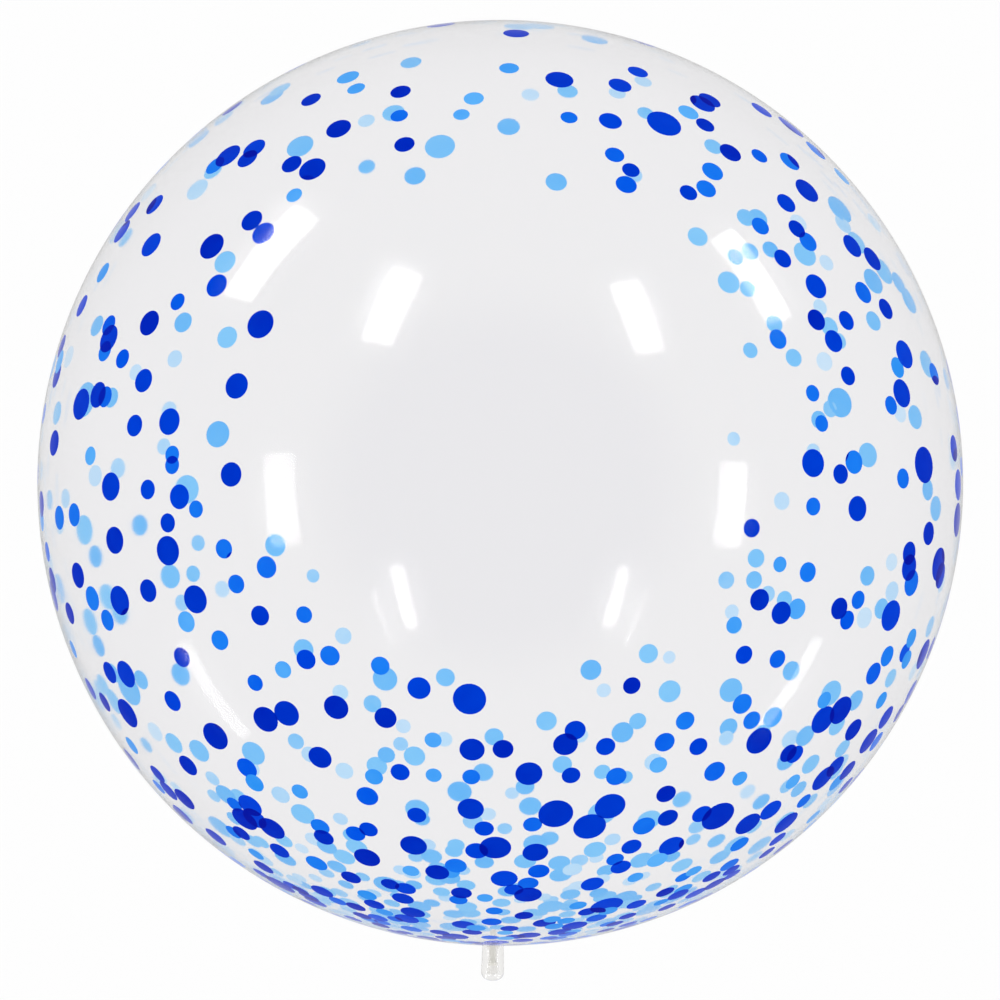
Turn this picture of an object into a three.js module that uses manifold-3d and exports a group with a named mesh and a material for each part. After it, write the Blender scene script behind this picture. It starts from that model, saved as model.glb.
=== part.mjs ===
// Clear bubble balloon: a stretched plastic film sphere with a short moulded neck,
// lying on its side. Millimetres, +Z up, neck towards -Y.
// The origin is the centre of the small flat spot that it lies on.

import * as THREE from 'three';
import { mergeVertices } from 'three/addons/utils/BufferGeometryUtils.js';
import Module from 'manifold-3d';

// ---- driving dimensions ---------------------------------------------------

const BUBBLE_RADIUS = 305; // 24 inch balloon, fully blown up
const FLAT_SPOT_RADIUS = 35; // where the film lies on the ground
const NECK_RADIUS = 7.6; // at the closed end
const NECK_WAIST_RADIUS = 7.1; // at the root, where the neck is slightly drawn in
const NECK_END_FROM_CENTRE = 330; // sphere centre to the closed end of the neck
const NECK_ROOT_FILLET = 3; // film flaring out of the neck into the sphere
const NECK_END_ROUNDING = 5.6; // rounded rim of the closed end, which leaves a flat disc

// ---- facets ---------------------------------------------------------------

const SEGMENTS_AROUND = 72;
const BUBBLE_ARC_STEPS = 36;
const FILLET_STEPS = 4;
const NECK_END_STEPS = 6;

// ---- derived places -------------------------------------------------------

const CENTRE_HEIGHT = Math.sqrt(BUBBLE_RADIUS ** 2 - FLAT_SPOT_RADIUS ** 2);

// The fillet circle touches the neck's waist and the sphere from outside.
const FILLET_CENTRE_RADIUS = NECK_WAIST_RADIUS + NECK_ROOT_FILLET;
const FILLET_CENTRE_Y = -Math.sqrt((BUBBLE_RADIUS + NECK_ROOT_FILLET) ** 2 - FILLET_CENTRE_RADIUS ** 2);

// Angle from the -Y pole, seen from the sphere's centre, at which the fillet ends on the sphere.
const FILLET_ANGLE = Math.asin(FILLET_CENTRE_RADIUS / (BUBBLE_RADIUS + NECK_ROOT_FILLET));

// Points of an arc about (centreRadius, centreY), with angles measured from +radius towards +Y.
function arcPoints(centreRadius, centreY, radius, fromAngle, toAngle, steps) {
  const points = [];
  for (let step = 0; step <= steps; step++) {
    const angle = fromAngle + ((toAngle - fromAngle) * step) / steps;
    const x = centreRadius + radius * Math.cos(angle);
    const y = centreY + radius * Math.sin(angle);
    points.push(new THREE.Vector2(x, y));
  }
  return points;
}

// Half outline of the bubble, from the closed end of the neck up to the far pole.
function bubbleProfile() {
  const endDiscRadius = NECK_RADIUS - NECK_END_ROUNDING;
  const endRoundingY = -NECK_END_FROM_CENTRE + NECK_END_ROUNDING;
  const neckEnd = arcPoints(
    endDiscRadius, endRoundingY, NECK_END_ROUNDING, -Math.PI / 2, 0, NECK_END_STEPS);
  const fillet = arcPoints(
    FILLET_CENTRE_RADIUS, FILLET_CENTRE_Y, NECK_ROOT_FILLET, Math.PI, Math.PI / 2 + FILLET_ANGLE,
    FILLET_STEPS);
  const sphere = arcPoints(
    0, 0, BUBBLE_RADIUS, -Math.PI / 2 + FILLET_ANGLE, Math.PI / 2, BUBBLE_ARC_STEPS);

  const endCentre = new THREE.Vector2(0, -NECK_END_FROM_CENTRE);
  const farPole = new THREE.Vector2(0, BUBBLE_RADIUS);
  return [endCentre, ...neckEnd, ...fillet, ...sphere.slice(1, -1), farPole];
}

// ---- boolean cut ----------------------------------------------------------

const wasm = await Module();
wasm.setup();

function solidFrom(geometry) {
  const bare = geometry.clone();
  bare.deleteAttribute('normal');
  bare.deleteAttribute('uv');
  const merged = mergeVertices(bare);
  return new wasm.Manifold(new wasm.Mesh({
    numProp: 3,
    vertProperties: new Float32Array(merged.attributes.position.array),
    triVerts: new Uint32Array(merged.index.array),
  }));
}

function geometryFrom(solid) {
  const mesh = solid.getMesh();
  const geometry = new THREE.BufferGeometry();
  geometry.setAttribute('position', new THREE.BufferAttribute(mesh.vertProperties, 3));
  geometry.setIndex(new THREE.BufferAttribute(mesh.triVerts, 1));
  geometry.computeVertexNormals();
  return geometry;
}

// ---- pieces ---------------------------------------------------------------

// The sphere and its neck, with the flat spot cut level with the ground.
function bubbleGeometry() {
  const blown = new THREE.LatheGeometry(bubbleProfile(), SEGMENTS_AROUND);
  blown.translate(0, 0, CENTRE_HEIGHT);

  const side = 4 * FLAT_SPOT_RADIUS;
  const belowGround = new THREE.BoxGeometry(side, side, side);
  belowGround.translate(0, 0, -side / 2);

  return geometryFrom(solidFrom(blown).subtract(solidFrom(belowGround)));
}

const clearFilm = new THREE.MeshStandardMaterial({
  color: 0xe9edf3,
  roughness: 0.08,
  metalness: 0,
  transparent: true,
  opacity: 0.35,
});

const bubble = new THREE.Mesh(bubbleGeometry(), clearFilm);
bubble.name = 'bubble';

const balloon = new THREE.Group();
balloon.add(bubble);

export default balloon;
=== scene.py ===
"""Clear bubble balloon printed with scattered blue dots, lying on its side on a pale floor.

The film is a closed shell with a real wall. Each dot is printed ink inside that wall: a blue outer
face and a paler inner face, so near dots read dark and far dots, seen from inside, read light.
Lengths are metres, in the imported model's frame: +Z up, neck towards -Y.
"""

import math
import random

import bpy
from mathutils import Matrix, Vector


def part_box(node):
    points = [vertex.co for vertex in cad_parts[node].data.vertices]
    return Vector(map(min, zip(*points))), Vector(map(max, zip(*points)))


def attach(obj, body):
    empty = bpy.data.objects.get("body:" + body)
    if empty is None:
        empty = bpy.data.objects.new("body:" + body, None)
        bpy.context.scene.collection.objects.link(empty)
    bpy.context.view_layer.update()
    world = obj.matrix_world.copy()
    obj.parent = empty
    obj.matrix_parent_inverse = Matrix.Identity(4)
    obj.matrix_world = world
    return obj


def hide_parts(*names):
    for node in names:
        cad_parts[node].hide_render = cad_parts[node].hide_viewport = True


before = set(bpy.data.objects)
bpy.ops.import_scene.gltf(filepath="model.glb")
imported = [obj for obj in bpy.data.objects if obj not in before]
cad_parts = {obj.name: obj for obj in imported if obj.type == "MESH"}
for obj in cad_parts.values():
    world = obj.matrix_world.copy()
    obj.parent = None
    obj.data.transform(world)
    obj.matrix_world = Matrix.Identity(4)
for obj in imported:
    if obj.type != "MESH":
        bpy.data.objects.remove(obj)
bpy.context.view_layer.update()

# ---- sizes from the frame ---------------------------------------------------

LOW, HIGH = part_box("bubble")
RADIUS = HIGH.y
CENTRE = Vector((0, 0, HIGH.z - RADIUS))
NECK_END = -LOW.y

MM = 0.001
NECK_RADIUS = 7.6 * MM
NECK_WAIST_RADIUS = 7.1 * MM
NECK_ROOT_FILLET = 3 * MM
NECK_END_ROUNDING = 5.6 * MM

FILM_WALL = 0.4 * MM
NECK_WALL = 4.0 * MM
GROUND_SOFTNESS = 0.6 * MM

# How finely the film is drawn: round the neck's axis, and along each stretch of its outline.
FILM_SEGMENTS = 256
BALL_STEPS = 124
NECK_END_STEPS = 12
NECK_SIDE_STEPS = 8
NECK_ROOT_STEPS = 10

# A short filling tube hangs from the ball into the neck's bore and ends in a thicker lip.
VALVE_RADIUS = 2.1 * MM
VALVE_WALL = 0.5 * MM
VALVE_START = 297 * MM
VALVE_END = 320 * MM
VALVE_LIP = 0.5 * MM
VALVE_LIP_LENGTH = 1.8 * MM
VALVE_EDGE = 0.25 * MM
VALVE_SEGMENTS = 48

# ---- printed dots -----------------------------------------------------------

SEED = 17
DOT_SIDES = 24
DOT_RINGS = 2
MEAN_DOT_AREA = 125 * MM * MM

# Share of the film that ink covers far from the neck, and what is added to it: more on the
# upper side than on the one that lies on the floor, more half way between them, and most of
# all close to the neck, where only a small ring round the neck itself stays clear.
FAR_COVER = 0.15
UPPER_COVER = 0.06
BELT_COVER = 0.07
NECK_COVER = 0.56
NECK_COVER_SPREAD = math.radians(37)
NECK_CLEAR = 38 * MM

# Two clear windows, one on top and one underneath, both shifted a little away from the neck.
WINDOW_TILT = math.radians(7)
WINDOW_CLEAR = {"top": math.radians(29), "underneath": math.radians(32)}
WINDOW_FADE = math.radians(16)

# The film stretches most half way between the windows: dots grow there, mostly away from them.
# Close to the neck it hardly stretches.
STRETCH_START = math.radians(35)
STRETCH_END = math.radians(68)
DOT_GROWTH = 1.36
DOT_LENGTHENING = (1.04, 1.3)
NECK_STRETCH_REACH = math.radians(55)

# Where the ink lies inside the wall. Dots that touch each other lie on levels of their own.
OUTER_FACE_RADIUS = RADIUS - 0.20 * MM
INNER_FACE_RADIUS = RADIUS - 0.24 * MM
OVERLAP_RADIUS = RADIUS - 0.10 * MM
LEVEL_STEP = 0.008 * MM
LEVELS = 8
OVERLAP_STEPS = 10

# Most dots keep their distance. Where the print gets dense, more of them run into each other.
# Distances are shares of the two dots' radii added up. So many are refused that the scatter
# starts with CROWDING_MAKE_UP times as many as the cover needs.
CROWDING_MAKE_UP = 3.7
CLOSEST = 0.5
OWN_ROOM = 1.9
CROWDED_ROOM = 0.78
CROWDING_REFUSED = 0.86
BIG_DOT_SHARE = 0.06
BIG_DOT_MM = (17, 20)
SMALL_DOT_BIAS = 1.3

# ---- colours and lights -----------------------------------------------------


def srgb(red, green, blue):
    """Linear colour from 0-255 display values."""
    channels = []
    for value in (red, green, blue):
        share = value / 255
        channels.append(share / 12.92 if share < 0.04045 else ((share + 0.055) / 1.055) ** 2.4)
    return (*channels, 1)


# Each dot is a strong blue from outside and a pale one from inside, as the far dots are seen.
INKS = {
    # name: share, (smallest, largest mm), slot, (deep, bright) outside, (deep, bright) inside
    "dark": (0.61, (10.8, 16.6), "ink_dark_blue", (srgb(0, 36, 184), srgb(0, 66, 216)),
             (srgb(106, 186, 250), srgb(134, 204, 252))),
    "mid": (0.25, (9.7, 13.4), "ink_mid_blue", (srgb(0, 82, 226), srgb(26, 124, 240)),
            (srgb(122, 196, 250), srgb(190, 226, 252))),
    "soft": (0.14, (9.2, 12.4), "ink_light_blue", (srgb(44, 144, 241), srgb(92, 176, 247)),
             (srgb(180, 220, 251), srgb(206, 232, 252))),
}
OVERLAP_INK = (srgb(0, 18, 160), srgb(0, 40, 190))
OVERLAP_SHADES = {"dark": 0, "mid": 1}
INK_ROUGHNESS = 0.5
INK_UNEVENNESS = 0.25

FILM_TINT = (0.929, 0.926, 0.933, 1)
FILM_IOR = 1.1
NECK_TINT = (0.86, 0.853, 0.84, 1)
NECK_IOR = 1.15
NECK_TINT_DEPTH = 2 * MM
NECK_TINT_MARGIN = 0.5 * MM
VALVE_TINTS = (srgb(222, 220, 212), srgb(240, 239, 235))
VALVE_IOR = 1.45

# Painted shadow: the floor is a little darker under the balloon, out to SHADE_REACH from where it
# lies.
FLOOR_SIZE = 14
FLOOR_WHITE = (0.9, 0.9, 0.9, 1)
FLOOR_SHADE = (0.862, 0.862, 0.872, 1)
SHADE_CORE = 0.09
SHADE_REACH = 0.17

# The film reflects a dark room that turns to a pale floor where it looks steeply down.
STUDIO_LIGHT = 1.1
STUDIO_IN_GLOSS = 0.15
FLOOR_IN_GLOSS = 0.75
FLOOR_STARTS_AT = -0.72
FLOOR_FULL_AT = -0.97

SOFTBOX_DISTANCE = 2.4
LAMP_FADES = (0.08, 0.15)
# Each lamp has a wider, much dimmer one at the same place, which is the haze round its highlight.
GLOW_MARGIN = 0.5
GLOW_SHARE = 0.18
GLOW_FADES = (0.5, 0.5)
# The lamps stand in mirrored pairs round a middle that lies a little to the balloon's right.
STUDIO_SHIFT = 0.12
SOFTBOX_PAIRS = [
    # name, azimuth to each side, elevation, width m, height m, roll, radiance
    ("outer", 48, 10, 0.85, 0.4, 10, 95),
    ("inner", 36, 42, 0.75, 0.34, 38, 130),
    ("middle", 95, 38, 0.8, 0.36, 0, 80),
    ("low", 137, 55, 0.62, 0.15, -35, 120),
    ("streak", 137, 48, 0.6, 0.06, -30, 40),
    ("edge", 125, 0, 0.8, 0.2, -5, 30),
]

# The camera looks straight down, and the sphere fills FRAME_SHARE of the picture's width.
LENS = 135
SENSOR = 36
FRAME_SHARE = 0.926
TOWARDS_BOX_MIDDLE = 0.9
CAMERA_ROLL = math.radians(0.9)


# ---- mesh helpers -----------------------------------------------------------


def new_piece(name, vertices, faces, material):
    mesh = bpy.data.meshes.new(name)
    mesh.from_pydata(vertices, [], faces)
    mesh.materials.append(material)
    mesh.validate()
    mesh.update()
    mesh.shade_smooth()
    piece = bpy.data.objects.new(name, mesh)
    bpy.context.scene.collection.objects.link(piece)
    return piece


def arc(centre, radius, start, end, steps):
    """Points (distance from the axis, y) on an arc; angles from the outward direction towards +Y."""
    points = []
    for step in range(steps + 1):
        angle = start + (end - start) * step / steps
        points.append((centre[0] + radius * math.cos(angle), centre[1] + radius * math.sin(angle)))
    return points


def revolve(profile, segments, flip):
    """A closed surface of revolution about the Y axis. The profile starts and ends on the axis."""
    ring_points = profile[1:-1]
    vertices = [(0, profile[0][1], 0)]
    for away, y in ring_points:
        for k in range(segments):
            turn = 2 * math.pi * k / segments
            vertices.append((away * math.cos(turn), y, -away * math.sin(turn)))
    vertices.append((0, profile[-1][1], 0))
    last = len(vertices) - 1
    faces = []
    for k in range(segments):
        beside = (k + 1) % segments
        faces.append((0, 1 + beside, 1 + k))
        top = 1 + (len(ring_points) - 1) * segments
        faces.append((last, top + k, top + beside))
        for ring in range(len(ring_points) - 1):
            a = 1 + ring * segments
            b = a + segments
            faces.append((a + k, a + beside, b + beside, b + k))
    if flip:
        faces = [tuple(reversed(face)) for face in faces]
    return vertices, faces


def film_profile(inset, neck_inset):
    """Half outline from the neck's closed end to the far pole, moved inwards by the wall."""
    sphere = RADIUS - inset
    waist = NECK_WAIST_RADIUS - neck_inset
    neck = NECK_RADIUS - neck_inset
    rounding = NECK_END_ROUNDING - neck_inset
    fillet = NECK_ROOT_FILLET + neck_inset
    fillet_away = waist + fillet
    fillet_y = -math.sqrt((sphere + fillet) ** 2 - fillet_away**2)
    fillet_angle = math.asin(fillet_away / (sphere + fillet))
    end_disc = neck - rounding
    end_y = -NECK_END + neck_inset

    end = arc((end_disc, end_y + rounding), rounding, -math.pi / 2, 0, NECK_END_STEPS)
    side_start = end[-1][1]
    side = []
    for step in range(1, NECK_SIDE_STEPS):
        share = step / NECK_SIDE_STEPS
        side.append((neck + (waist - neck) * share, side_start + (fillet_y - side_start) * share))
    root = arc((fillet_away, fillet_y), fillet, math.pi, math.pi / 2 + fillet_angle, NECK_ROOT_STEPS)
    ball = arc((0, 0), sphere, -math.pi / 2 + fillet_angle, math.pi / 2, BALL_STEPS)
    return [(0, end_y), *end, *side, *root, *ball[1:-1], (0, sphere)]


def settle(vertices, floor):
    """Moves a shape to the sphere's place and flattens softly what would sink under the floor."""
    settled = []
    for x, y, z in vertices:
        above = z + CENTRE.z - floor
        lifted = 0.5 * (above + math.sqrt(above * above + GROUND_SOFTNESS**2))
        settled.append((x, y, floor + lifted))
    return settled


# ---- materials --------------------------------------------------------------


def new_material(name):
    material = bpy.data.materials.new(name)
    material.use_nodes = True
    return material, material.node_tree.nodes, material.node_tree.links


def noise_between(material, scale, detail, low, high, start=0.0, end=1.0):
    """Noise in the object's own space: low where it is under start, high where it is over end."""
    nodes, links = material.node_tree.nodes, material.node_tree.links
    place = nodes.new("ShaderNodeTexCoord")
    noise = nodes.new("ShaderNodeTexNoise")
    noise.inputs["Scale"].default_value = scale
    noise.inputs["Detail"].default_value = detail
    spread = nodes.new("ShaderNodeMapRange")
    spread.inputs["From Min"].default_value = start
    spread.inputs["From Max"].default_value = end
    spread.inputs["To Min"].default_value = low
    spread.inputs["To Max"].default_value = high
    links.new(place.outputs["Object"], noise.inputs["Vector"])
    links.new(noise.outputs["Fac"], spread.inputs["Value"])
    return spread.outputs["Result"]


def mixed_colour(material, share, first, second):
    """The output of a node that goes from the first colour to the second as share goes to 1."""
    mix = material.node_tree.nodes.new("ShaderNodeMix")
    mix.data_type = "RGBA"
    mix.inputs[6].default_value = first
    mix.inputs[7].default_value = second
    material.node_tree.links.new(share, mix.inputs[0])
    return mix.outputs[2]


def film_material():
    """Stretched clear film: see-through, faintly grey, a little less sharp in soft patches."""
    material, nodes, links = new_material("clear_film")
    shader = nodes["Principled BSDF"]
    shader.inputs["Base Color"].default_value = FILM_TINT
    shader.inputs["Transmission Weight"].default_value = 1
    shader.inputs["IOR"].default_value = FILM_IOR
    roughness = noise_between(material, scale=7, detail=2, low=0.03, high=0.12, start=0.5, end=0.8)
    links.new(roughness, shader.inputs["Roughness"])
    return material


def neck_material():
    """The same clear plastic where it is thick: milkier and greyer than the film."""
    material, nodes, links = new_material("neck_plastic")
    shader = nodes["Principled BSDF"]
    shader.inputs["Base Color"].default_value = NECK_TINT
    shader.inputs["Transmission Weight"].default_value = 1
    shader.inputs["IOR"].default_value = NECK_IOR
    roughness = noise_between(material, scale=160, detail=2, low=0.12, high=0.3)
    links.new(roughness, shader.inputs["Roughness"])
    return material


def valve_material():
    """Frosted tube plastic, with faint streaks along it."""
    material, nodes, links = new_material("valve_plastic")
    shader = nodes["Principled BSDF"]
    shader.inputs["IOR"].default_value = VALVE_IOR
    roughness = noise_between(material, scale=300, detail=2, low=0.3, high=0.5)
    links.new(roughness, shader.inputs["Roughness"])
    patches = noise_between(material, scale=120, detail=2, low=0, high=1)
    links.new(mixed_colour(material, patches, *VALVE_TINTS), shader.inputs["Base Color"])
    return material


def ink_material(name, deep, bright):
    """Flat ink. Each dot has its own shade between deep and bright, with fine uneven cover."""
    material, nodes, links = new_material(name)
    shader = nodes["Principled BSDF"]
    shader.inputs["Roughness"].default_value = INK_ROUGHNESS
    shader.inputs["Specular IOR Level"].default_value = 0
    shade = nodes.new("ShaderNodeAttribute")
    shade.attribute_name = "shade"
    uneven = nodes.new("ShaderNodeMath")
    uneven.operation = "ADD"
    uneven.use_clamp = True
    patches = noise_between(material, scale=90, detail=3, low=-INK_UNEVENNESS, high=INK_UNEVENNESS)
    links.new(shade.outputs["Fac"], uneven.inputs[0])
    links.new(patches, uneven.inputs[1])
    tint = mixed_colour(material, uneven.outputs["Value"], deep, bright)
    links.new(tint, shader.inputs["Base Color"])
    return material


# ---- the film ---------------------------------------------------------------


def make_film():
    """The sphere and its neck as a closed shell. The thick neck has a material of its own."""
    outer, outer_faces = revolve(film_profile(0, 0), FILM_SEGMENTS, flip=False)
    inner, inner_faces = revolve(film_profile(FILM_WALL, NECK_WALL), FILM_SEGMENTS, flip=True)
    vertices = settle(outer, 0) + settle(inner, FILM_WALL)
    faces = outer_faces + [tuple(i + len(outer) for i in face) for face in inner_faces]
    film = new_piece("film", vertices, faces, film_material())
    film.data.materials.append(neck_material())
    for face in film.data.polygons:
        if face.center.y < -RADIUS + NECK_TINT_DEPTH:
            away = math.hypot(face.center.x, face.center.z - CENTRE.z)
            if away < NECK_RADIUS + NECK_TINT_MARGIN:
                face.material_index = 1
    film.visible_shadow = False
    film.visible_diffuse = False
    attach(film, "root")
    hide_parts("bubble")


def make_valve_tube():
    """A thin tube with a thicker lip at its outer end, open at both ends."""
    bore = VALVE_RADIUS - VALVE_WALL
    lip = VALVE_RADIUS + VALVE_LIP
    lip_start = VALVE_END - VALVE_LIP_LENGTH
    outline = [
        (bore, VALVE_START), (bore, VALVE_END - VALVE_EDGE), (bore + VALVE_EDGE, VALVE_END),
        (lip - VALVE_EDGE, VALVE_END), (lip, VALVE_END - VALVE_EDGE), (lip, lip_start + VALVE_EDGE),
        (lip - VALVE_EDGE, lip_start), (VALVE_RADIUS, lip_start), (VALVE_RADIUS, VALVE_START),
    ]
    vertices = []
    for away, along in outline:
        for k in range(VALVE_SEGMENTS):
            turn = 2 * math.pi * k / VALVE_SEGMENTS
            vertices.append((away * math.cos(turn), -along, CENTRE.z + away * math.sin(turn)))
    faces = []
    for ring in range(len(outline)):
        a = ring * VALVE_SEGMENTS
        b = (ring + 1) % len(outline) * VALVE_SEGMENTS
        for k in range(VALVE_SEGMENTS):
            beside = (k + 1) % VALVE_SEGMENTS
            faces.append((a + k, b + k, b + beside, a + beside))
    tube = new_piece("valve_tube", vertices, faces, valve_material())
    tube.visible_shadow = False
    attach(tube, "root")


# ---- the dots ---------------------------------------------------------------


def random_direction(rng):
    """A direction with no preference for any part of the sphere."""
    z = rng.uniform(-1, 1)
    turn = rng.uniform(0, 2 * math.pi)
    flat = math.sqrt(1 - z * z)
    return Vector((flat * math.cos(turn), flat * math.sin(turn), z))


def nearest_window(direction):
    """The middle of the clear window on the direction's own side, top or underneath."""
    return Vector((0, math.sin(WINDOW_TILT), math.copysign(math.cos(WINDOW_TILT), direction.z)))


def neck_angle(direction):
    return direction.angle(Vector((0, -1, 0)))


def crowding(direction, densest):
    """How crowded the print is at a place on the film, as a share of the densest crowding."""
    cover = FAR_COVER + UPPER_COVER * direction.z
    cover += NECK_COVER * math.exp(-((neck_angle(direction) / NECK_COVER_SPREAD) ** 2))
    cover += BELT_COVER * (1 - abs(direction.z)) ** 2
    side = "top" if direction.z > 0 else "underneath"
    beyond = (direction.angle(nearest_window(direction)) - WINDOW_CLEAR[side]) / WINDOW_FADE
    return -math.log(1 - cover) / densest * min(1, max(0, beyond))


def stretched_dot(direction):
    """A dot's own axes, away from the window and across, and how much the film has stretched it."""
    window = nearest_window(direction)
    angle = direction.angle(window)
    along = (direction * direction.dot(window) - window).normalized()
    share = min(1, max(0, (angle - STRETCH_START) / (STRETCH_END - STRETCH_START)))
    share *= 1 - math.exp(-((neck_angle(direction) / NECK_STRETCH_REACH) ** 2))
    start, end = DOT_LENGTHENING
    return {"direction": direction, "along": along, "across": direction.cross(along),
            "growth": 1 + (DOT_GROWTH - 1) * share, "length": start + (end - start) * share}


def in_dot_plane(dot, direction):
    """Where another direction lies in a dot's plane, drawn so that the dot is a circle there."""
    offset = (direction - dot["direction"]) * RADIUS
    return offset.dot(dot["across"]), offset.dot(dot["along"]) / dot["length"]


def pick_ink(pick):
    """The ink that a number from 0 to 1 falls on, by the inks' shares."""
    for ink, (share, *_) in INKS.items():
        if pick < share:
            return ink
        pick -= share
    return ink


def scatter_dots():
    """All dots: random places, thinned by how crowded the print is there and by their distance."""
    rng = random.Random(SEED)
    densest = -math.log(1 - FAR_COVER - BELT_COVER - NECK_COVER)
    candidates = int(CROWDING_MAKE_UP * densest / MEAN_DOT_AREA * 4 * math.pi * RADIUS**2)
    dots = []
    for _ in range(candidates):
        dot = stretched_dot(random_direction(rng))
        crowd = crowding(dot["direction"], densest)
        keep = rng.random() < crowd / (dot["growth"] ** 2 * dot["length"])
        dot["ink"] = pick_ink(rng.random())
        size_pick = rng.random()
        big_pick = rng.random()
        crowd_pick = rng.random()
        dot["shade"] = rng.random()
        if not keep:
            continue
        small, large = INKS[dot["ink"]][1]
        diameter = small + (large - small) * size_pick**SMALL_DOT_BIAS
        if dot["ink"] == "dark" and big_pick < BIG_DOT_SHARE:
            diameter = BIG_DOT_MM[0] + (BIG_DOT_MM[1] - BIG_DOT_MM[0]) * size_pick
        dot["radius"] = diameter / 2 * MM * dot["growth"]
        if neck_angle(dot["direction"]) * RADIUS < NECK_CLEAR + dot["radius"]:
            continue
        near = []
        closest = OWN_ROOM
        for other in dots:
            apart = math.hypot(*in_dot_plane(dot, other["direction"]))
            reach = other["radius"] + dot["radius"]
            closest = min(closest, apart / reach)
            if apart < reach:
                near.append(other)
        room = OWN_ROOM - (OWN_ROOM - CROWDED_ROOM) * crowd
        if closest < CLOSEST or (closest < room and crowd_pick < CROWDING_REFUSED):
            continue
        taken = {other["level"] for other in near}
        dot["level"] = next((n for n in range(LEVELS) if n not in taken), LEVELS - 1)
        dot["near"] = near
        dots.append(dot)
    return dots


def on_sphere(dot, u, v, shell):
    """A point on a sphere of radius shell, from its place in a dot's plane."""
    v *= dot["length"]
    angle = math.hypot(u, v) / RADIUS
    if angle == 0:
        return CENTRE + shell * dot["direction"]
    side = (u * dot["across"] + v * dot["along"]).normalized()
    return CENTRE + shell * (math.cos(angle) * dot["direction"] + math.sin(angle) * side)


def dot_mesh(dot, shell, facing_out):
    """Vertices and faces of a dot on a sphere of radius shell."""
    vertices = [on_sphere(dot, 0, 0, shell)]
    for ring in range(1, DOT_RINGS + 1):
        away = dot["radius"] * ring / DOT_RINGS
        for k in range(DOT_SIDES):
            turn = 2 * math.pi * k / DOT_SIDES
            vertices.append(on_sphere(dot, away * math.cos(turn), away * math.sin(turn), shell))
    faces = []
    for k in range(DOT_SIDES):
        beside = (k + 1) % DOT_SIDES
        faces.append((0, 1 + k, 1 + beside))
        for ring in range(DOT_RINGS - 1):
            a = 1 + ring * DOT_SIDES
            b = a + DOT_SIDES
            faces.append((a + k, b + k, b + beside, a + beside))
    if not facing_out:
        faces = [tuple(reversed(face)) for face in faces]
    return vertices, faces


def overlap_mesh(dot, other, shell):
    """The lens where two dots are printed over each other, inside both outlines."""
    u, v = in_dot_plane(dot, other["direction"])
    apart = math.hypot(u, v)
    small, large = sorted((dot["radius"], other["radius"]))
    if apart >= small + large or apart <= large - small:
        return [], []
    facing = math.atan2(v, u)
    sides = [
        (dot["radius"], other["radius"], (0, 0), facing),
        (other["radius"], dot["radius"], (u, v), facing + math.pi),
    ]
    outline = []
    for radius, partner, middle, start in sides:
        reach = math.acos((apart**2 + radius**2 - partner**2) / (2 * apart * radius))
        for step in range(OVERLAP_STEPS):
            turn = start - reach + 2 * reach * step / OVERLAP_STEPS
            outline.append((middle[0] + radius * math.cos(turn), middle[1] + radius * math.sin(turn)))
    centre_u = sum(point[0] for point in outline) / len(outline)
    centre_v = sum(point[1] for point in outline) / len(outline)
    vertices = [on_sphere(dot, centre_u, centre_v, shell)]
    vertices += [on_sphere(dot, *point, shell) for point in outline]
    faces = [(0, 1 + k, 1 + (k + 1) % len(outline)) for k in range(len(outline))]
    return vertices, faces


def make_ink_piece(name, material, parts):
    """One piece of ink from (vertices, faces, shade) parts. Every part keeps its own shade."""
    vertices, faces, shades = [], [], []
    for part_vertices, part_faces, shade in parts:
        first = len(vertices)
        vertices += part_vertices
        faces += [tuple(first + i for i in face) for face in part_faces]
        shades += [shade] * len(part_vertices)
    piece = new_piece(name, vertices, faces, material)
    attribute = piece.data.attributes.new("shade", "FLOAT", "POINT")
    attribute.data.foreach_set("value", shades)
    piece.visible_shadow = False
    piece.visible_diffuse = False
    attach(piece, "root")


def make_dots(dots):
    """Two pieces for each ink: the dots' outer faces, and their paler inner faces."""
    for ink, (_, _, slot, outer, inner) in INKS.items():
        outer_parts, inner_parts = [], []
        for dot in dots:
            if dot["ink"] != ink:
                continue
            lift = dot["level"] * LEVEL_STEP
            outer_parts.append((*dot_mesh(dot, OUTER_FACE_RADIUS + lift, True), dot["shade"]))
            inner_parts.append((*dot_mesh(dot, INNER_FACE_RADIUS - lift, False), dot["shade"]))
        make_ink_piece(f"dots_{ink}_outer", ink_material(f"ink_{ink}_outer", *outer), outer_parts)
        make_ink_piece(f"dots_{ink}_inner",
                       ink_material(f"ink_{ink}_inner", *inner), inner_parts)


def make_overlaps(dots):
    """The darker ink where two dark or mid dots share a place."""
    parts = []
    for dot in dots:
        for other in dot["near"]:
            if dot["ink"] not in OVERLAP_SHADES or other["ink"] not in OVERLAP_SHADES:
                continue
            shade = (OVERLAP_SHADES[dot["ink"]] + OVERLAP_SHADES[other["ink"]]) / 2
            parts.append((*overlap_mesh(dot, other, OVERLAP_RADIUS), shade))
    make_ink_piece("dots_overlaps", ink_material("ink_overlap", *OVERLAP_INK), parts)


# ---- the room ---------------------------------------------------------------


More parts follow.
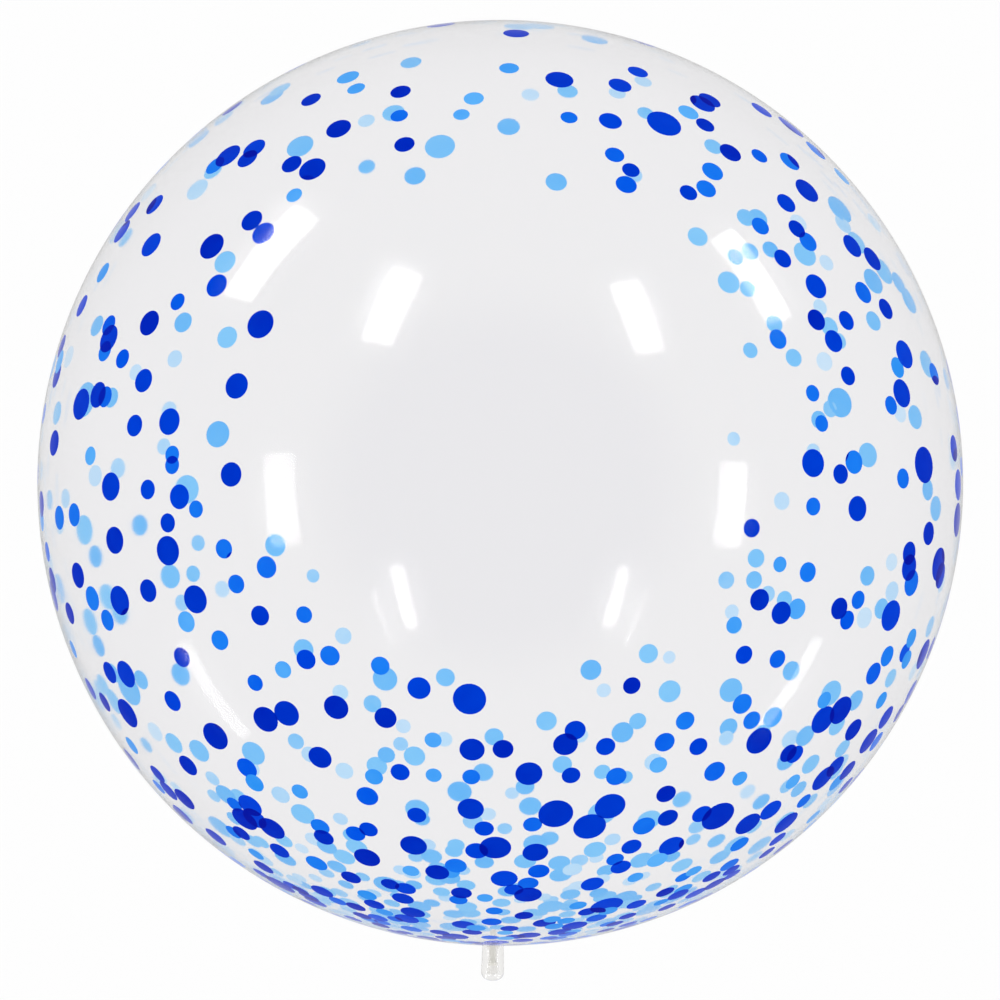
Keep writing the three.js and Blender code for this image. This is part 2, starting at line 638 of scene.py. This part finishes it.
def make_floor():
    """A white floor with a faint soft shadow of the balloon painted into its colour round the spot it
    rests on.
    """
    bpy.ops.mesh.primitive_plane_add(size=FLOOR_SIZE)
    floor = bpy.context.object
    floor.name = "floor"
    material, nodes, links = new_material("floor")
    shader = nodes["Principled BSDF"]
    shader.inputs["Roughness"].default_value = 1
    shader.inputs["Specular IOR Level"].default_value = 0
    place = nodes.new("ShaderNodeTexCoord")
    away = nodes.new("ShaderNodeVectorMath")
    away.operation = "LENGTH"
    fade = nodes.new("ShaderNodeMapRange")
    fade.interpolation_type = "SMOOTHERSTEP"
    fade.inputs["From Min"].default_value = SHADE_CORE
    fade.inputs["From Max"].default_value = SHADE_REACH
    links.new(place.outputs["Object"], away.inputs[0])
    links.new(away.outputs["Value"], fade.inputs["Value"])
    # Painted shadow: the floor's colour turns darker towards the spot the balloon rests on.
    tint = mixed_colour(material, fade.outputs["Result"], FLOOR_SHADE, FLOOR_WHITE)
    links.new(tint, shader.inputs["Base Color"])
    floor.data.materials.append(material)
    floor.visible_glossy = False


def make_world():
    """A white studio all round. The film's gloss sees it dark above and grey below, so that
    the lamps stand out in the film and the rim is only a thin grey line."""
    world = bpy.data.worlds.new("studio")
    world.use_nodes = True
    nodes, links = world.node_tree.nodes, world.node_tree.links
    place = nodes.new("ShaderNodeTexCoord")
    parts = nodes.new("ShaderNodeSeparateXYZ")
    gloss = nodes.new("ShaderNodeMapRange")
    gloss.inputs["From Min"].default_value = FLOOR_STARTS_AT
    gloss.inputs["From Max"].default_value = FLOOR_FULL_AT
    gloss.inputs["To Min"].default_value = STUDIO_IN_GLOSS
    gloss.inputs["To Max"].default_value = FLOOR_IN_GLOSS
    # Light that passes through the film counts as glossy too, so it is taken off again.
    rays = nodes.new("ShaderNodeLightPath")
    reflected = nodes.new("ShaderNodeMath")
    reflected.operation = "SUBTRACT"
    reflected.use_clamp = True
    strength = nodes.new("ShaderNodeMapRange")
    strength.inputs["To Min"].default_value = STUDIO_LIGHT
    links.new(place.outputs["Generated"], parts.inputs["Vector"])
    links.new(parts.outputs["Z"], gloss.inputs["Value"])
    links.new(gloss.outputs["Result"], strength.inputs["To Max"])
    links.new(rays.outputs["Is Glossy Ray"], reflected.inputs[0])
    links.new(rays.outputs["Is Transmission Ray"], reflected.inputs[1])
    links.new(reflected.outputs["Value"], strength.inputs["Value"])
    links.new(strength.outputs["Result"], nodes["Background"].inputs["Strength"])
    nodes["Background"].inputs["Color"].default_value = (1, 1, 1, 1)
    bpy.context.scene.world = world


def soften_edges(light, long_fade, short_fade):
    """Makes a lamp's light fade out over the last part of its length and height."""
    light.use_nodes = True
    nodes, links = light.node_tree.nodes, light.node_tree.links
    place = nodes.new("ShaderNodeNewGeometry")
    parts = nodes.new("ShaderNodeSeparateXYZ")
    links.new(place.outputs["Parametric"], parts.inputs["Vector"])
    shares = []
    for side, fade in (("X", long_fade), ("Y", short_fade)):
        # The distance to the nearer end, from 0 to half the lamp.
        ends = nodes.new("ShaderNodeMath")
        ends.operation = "PINGPONG"
        ends.inputs[1].default_value = 0.5
        rise = nodes.new("ShaderNodeMapRange")
        rise.interpolation_type = "SMOOTHSTEP"
        rise.inputs["From Max"].default_value = fade
        links.new(parts.outputs[side], ends.inputs[0])
        links.new(ends.outputs["Value"], rise.inputs["Value"])
        shares.append(rise.outputs["Result"])
    both = nodes.new("ShaderNodeMath")
    both.operation = "MULTIPLY"
    links.new(shares[0], both.inputs[0])
    links.new(shares[1], both.inputs[1])
    links.new(both.outputs["Value"], nodes["Emission"].inputs["Strength"])


def softbox(name, azimuth, elevation, width, height, roll, radiance, fades):
    """A flat lamp that faces the balloon and only shows as a highlight on the outside of the film.
    Azimuth runs from +Y towards +X and elevation up from the ground, from the sphere's centre.
    With more than one bounce its light would also show, mirrored, in the film's far side."""
    azimuth, elevation = math.radians(azimuth), math.radians(elevation)
    flat = math.cos(elevation)
    towards = Vector((math.sin(azimuth) * flat, math.cos(azimuth) * flat, math.sin(elevation)))
    light = bpy.data.lights.new(name, "AREA")
    light.shape = "RECTANGLE"
    light.size = width
    light.size_y = height
    light.energy = radiance * math.pi * width * height
    light.cycles.max_bounces = 1
    soften_edges(light, *fades)
    lamp = bpy.data.objects.new(name, light)
    turn = towards.to_track_quat("Z", "Y").to_matrix() @ Matrix.Rotation(math.radians(roll), 3, "Z")
    place = CENTRE + towards * SOFTBOX_DISTANCE + Vector((STUDIO_SHIFT, 0, 0))
    lamp.matrix_world = Matrix.Translation(place) @ turn.to_4x4()
    lamp.visible_diffuse = False
    lamp.visible_transmission = False
    lamp.visible_camera = False
    bpy.context.scene.collection.objects.link(lamp)


def make_softboxes():
    for name, azimuth, elevation, width, height, roll, radiance in SOFTBOX_PAIRS:
        for side, mirror in (("right", 1), ("left", -1)):
            softbox(f"{name}_{side}", mirror * azimuth, elevation, width, height,
                    -mirror * roll, radiance, LAMP_FADES)
            softbox(f"{name}_{side}_glow", mirror * azimuth, elevation, width + GLOW_MARGIN,
                    height + GLOW_MARGIN, -mirror * roll, radiance * GLOW_SHARE, GLOW_FADES)


def make_camera():
    half_view = FRAME_SHARE * SENSOR / 2 / LENS
    distance = RADIUS / math.sin(math.atan(half_view))
    box_middle = (LOW.y + HIGH.y) / 2
    camera = bpy.data.cameras.new("camera")
    camera.lens = LENS
    camera.sensor_width = SENSOR
    seen = bpy.data.objects.new("camera", camera)
    seen.location = CENTRE + Vector((0, box_middle * TOWARDS_BOX_MIDDLE, distance))
    seen.rotation_euler = (0, 0, CAMERA_ROLL)
    bpy.context.scene.collection.objects.link(seen)
    bpy.context.scene.camera = seen


make_camera()
make_film()
make_valve_tube()
scattered = scatter_dots()
make_dots(scattered)
make_overlaps(scattered)
make_floor()
make_world()
make_softboxes()
bpy.context.scene.view_settings.view_transform = "Standard"
